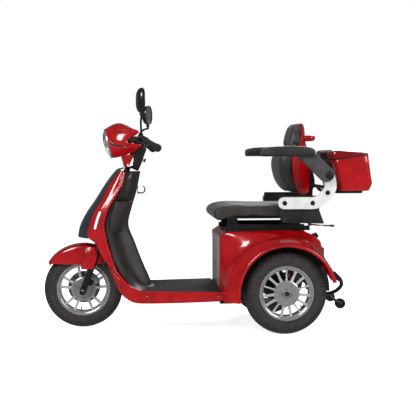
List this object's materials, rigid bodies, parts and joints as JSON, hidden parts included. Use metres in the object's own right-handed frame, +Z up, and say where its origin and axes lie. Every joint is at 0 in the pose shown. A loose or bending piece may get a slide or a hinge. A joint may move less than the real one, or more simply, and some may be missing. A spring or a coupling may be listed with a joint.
{
  "type": "mobility scooter",
  "caption": "Three-wheeled mobility scooter: steered sprung front fork, driven rear axle, padded sliding seat with lifting armrests, and a lidded rear box.",
  "frame": {"origin": "centre of the bounding box's base, on the ground between the axles", "axes": "+X to the rear, +Y to the rider's right, +Z up"},
  "size_m": [1.71, 0.74, 1.243],
  "materials": {
    "frame_paint": "semi-gloss powder coat",
    "bright_steel": "ground steel",
    "red_panel": "glossy pigmented ABS",
    "dark_panel": "satin blue-black ABS",
    "shield_plastic": "grained dark brown-black plastic",
    "floor_rubber": "ribbed rubber mat",
    "seatbox_front": "light grey moulded plastic",
    "marker_lens": "clear light-strip plastic",
    "red_lens": "red lamp plastic",
    "black_plastic": "moulded black plastic",
    "battery_case": "battery cases and controller block",
    "black_tube": "satin black tube",
    "lamp_lens": "clear dome",
    "lamp_reflector": "bright reflector",
    "dash_plastic": "smoked instrument cover",
    "grip_rubber": "moulded grip rubber",
    "button_plastic": "beige button",
    "mirror_body": "gloss black mirror shell",
    "alloy": "cast alloy, bright",
    "tyre_rubber": "black tread rubber",
    "disc_steel": "ground brake disc",
    "motor_case": "motor and gearbox casing",
    "spring_paint": "red painted spring wire",
    "seat_leather": "charcoal grained seat cover",
    "bracket_paint": "white gloss powder coat",
    "arm_pad": "padded arm cover"
  },
  "bodies": {
    "chassis": {"main_frame": "frame_paint", "head_bearings": "bright_steel", "floor_skirt": "red_panel", "floor_mat": "floor_rubber", "legshield": "shield_plastic", "bag_hook": "bright_steel", "side_panels": "red_panel", "centre_panel": "dark_panel", "front_markers": "marker_lens", "rear_body": "red_panel", "seatbox_cover": "seatbox_front", "battery_and_controller": "battery_case", "underbody": "black_plastic", "tail_lights": "red_lens", "rear_bumper": "black_tube", "seat_rails": "frame_paint"},
    "steering": {"fork_upper": "frame_paint", "handlebar": "black_tube", "nacelle": "red_panel", "headlamp_lens": "lamp_lens", "headlamp_reflector": "lamp_reflector", "dash_panel": "dash_plastic", "neck_cover": "red_panel", "column_cover": "black_plastic", "left_grip": "grip_rubber", "control_pods": "black_plastic", "mirror_stems": "black_tube"},
    "fork": {"fork_lowers": "black_tube", "front_fender": "red_panel", "brake_caliper": "frame_paint"},
    "front_wheel": {"front_tyre": "tyre_rubber", "front_rim": "alloy", "brake_disc": "disc_steel"},
    "lever_left": {"brake_lever_left": "black_tube"},
    "lever_right": {"brake_lever_right": "black_tube"},
    "throttle": {"throttle_grip": "grip_rubber"},
    "horn": {"horn_button": "button_plastic"},
    "key": {"ignition_key": "bright_steel"},
    "left_mirror": {"mirror_left": "mirror_body"},
    "right_mirror": {"mirror_right": "mirror_body"},
    "rear_suspension": {"rear_axle": "frame_paint", "drive_motor": "motor_case", "shock_springs": "spring_paint"},
    "rear_wheel_left": {"rear_tyre_left": "tyre_rubber", "rear_rim_left": "alloy"},
    "rear_wheel_right": {"rear_tyre_right": "tyre_rubber", "rear_rim_right": "alloy"},
    "seat": {"seat_pan": "frame_paint", "seat_cushion": "seat_leather", "seat_side_covers": "black_plastic", "armrest_brackets": "bracket_paint", "bracket_bolts": "black_tube", "backrest_shell": "red_panel", "backrest_cushions": "seat_leather", "top_box": "red_panel"},
    "slide_lever": {"seat_lever": "bright_steel"},
    "left_armrest": {"armrest_left": "arm_pad"},
    "right_armrest": {"armrest_right": "arm_pad"},
    "box_lid": {"top_box_lid": "red_panel"},
    "anti_tip": {"anti_tip_wheels": "black_plastic"}
  },
  "joints": [
    {"name": "steer", "type": "hinge", "parent": "chassis", "child": "steering", "pos_m": [-0.65, 0, 0.205], "axis": [0.3469, 0, 0.9379], "range_deg": [-30, 30]},
    {"name": "fork_travel", "type": "slide", "parent": "steering", "child": "fork", "axis": [0.3469, 0, 0.9379], "range_m": [0, 0.02], "stiffness_N_per_m": 10000, "springref_m": -0.05},
    {"name": "front_wheel_spin", "type": "hinge", "parent": "fork", "child": "front_wheel", "pos_m": [-0.65, 0, 0.205], "axis": [0, 1, 0], "continuous": true},
    {"name": "brake_lever_left_pull", "type": "hinge", "parent": "steering", "child": "lever_left", "pos_m": [-0.37113, -0.2228, 0.9874], "axis": [0.1532, -0.258, 0.9539], "range_deg": [0, 10], "stiffness_Nm_per_rad": 1, "springref_deg": -11.46},
    {"name": "brake_lever_right_pull", "type": "hinge", "parent": "steering", "child": "lever_right", "pos_m": [-0.37113, 0.2228, 0.9874], "axis": [-0.1532, -0.258, -0.9539], "range_deg": [0, 10], "stiffness_Nm_per_rad": 1, "springref_deg": -11.46},
    {"name": "throttle_twist", "type": "hinge", "parent": "steering", "child": "throttle", "pos_m": [-0.338, 0.212, 0.985], "axis": [0.4871, 0.8202, -0.3001], "range_deg": [0, 60], "stiffness_Nm_per_rad": 0.3, "springref_deg": -11.46},
    {"name": "horn_press", "type": "slide", "parent": "steering", "child": "horn", "axis": [0, 0, -1], "range_m": [0, 0.0025], "stiffness_N_per_m": 600, "springref_m": -0.001},
    {"name": "key_turn", "type": "hinge", "parent": "steering", "child": "key", "pos_m": [-0.34229, 0, 0.88551], "axis": [0.9379, 0, -0.3469], "range_deg": [0, 90]},
    {"name": "mirror_left_turn", "type": "hinge", "parent": "steering", "child": "left_mirror", "pos_m": [-0.348, -0.266, 1.129], "axis": [0, 0, 1], "range_deg": [-25, 25]},
    {"name": "mirror_right_turn", "type": "hinge", "parent": "steering", "child": "right_mirror", "pos_m": [-0.3, 0.268, 1.086], "axis": [0, 0, 1], "range_deg": [-25, 25]},
    {"name": "rear_swing", "type": "hinge", "parent": "chassis", "child": "rear_suspension", "pos_m": [0.15, 0, 0.19], "axis": [0, -1, 0], "range_deg": [0, 6], "stiffness_Nm_per_rad": 1200, "springref_deg": -17.19, "deforming": ["shock_springs"]},
    {"name": "rear_wheel_left_spin", "type": "hinge", "parent": "rear_suspension", "child": "rear_wheel_left", "pos_m": [0.377, -0.301, 0.212], "axis": [0, 1, 0], "continuous": true},
    {"name": "rear_wheel_right_spin", "type": "hinge", "parent": "rear_suspension", "child": "rear_wheel_right", "pos_m": [0.377, 0.301, 0.212], "axis": [0, 1, 0], "continuous": true},
    {"name": "seat_slide", "type": "slide", "parent": "chassis", "child": "seat", "axis": [1, 0, 0], "range_m": [-0.04, 0.04]},
    {"name": "seat_lever_pull", "type": "hinge", "parent": "seat", "child": "slide_lever", "pos_m": [0.525, -0.18, 0.548], "axis": [0, 0, 1], "range_deg": [0, 15], "stiffness_Nm_per_rad": 0.5, "springref_deg": -11.46},
    {"name": "armrest_left_lift", "type": "hinge", "parent": "seat", "child": "left_armrest", "pos_m": [0.604, -0.282, 0.805], "axis": [0, 1, 0], "range_deg": [0, 90]},
    {"name": "armrest_right_lift", "type": "hinge", "parent": "seat", "child": "right_armrest", "pos_m": [0.604, 0.282, 0.805], "axis": [0, 1, 0], "range_deg": [0, 90]},
    {"name": "box_lid_lift", "type": "hinge", "parent": "seat", "child": "box_lid", "pos_m": [0.64, 0, 0.893], "axis": [0, -1, 0], "range_deg": [0, 75]},
    {"name": "anti_tip_wheel_spin", "type": "hinge", "parent": "chassis", "child": "anti_tip", "pos_m": [0.705, 0, 0.121], "axis": [0, 1, 0], "continuous": true}
  ]
}
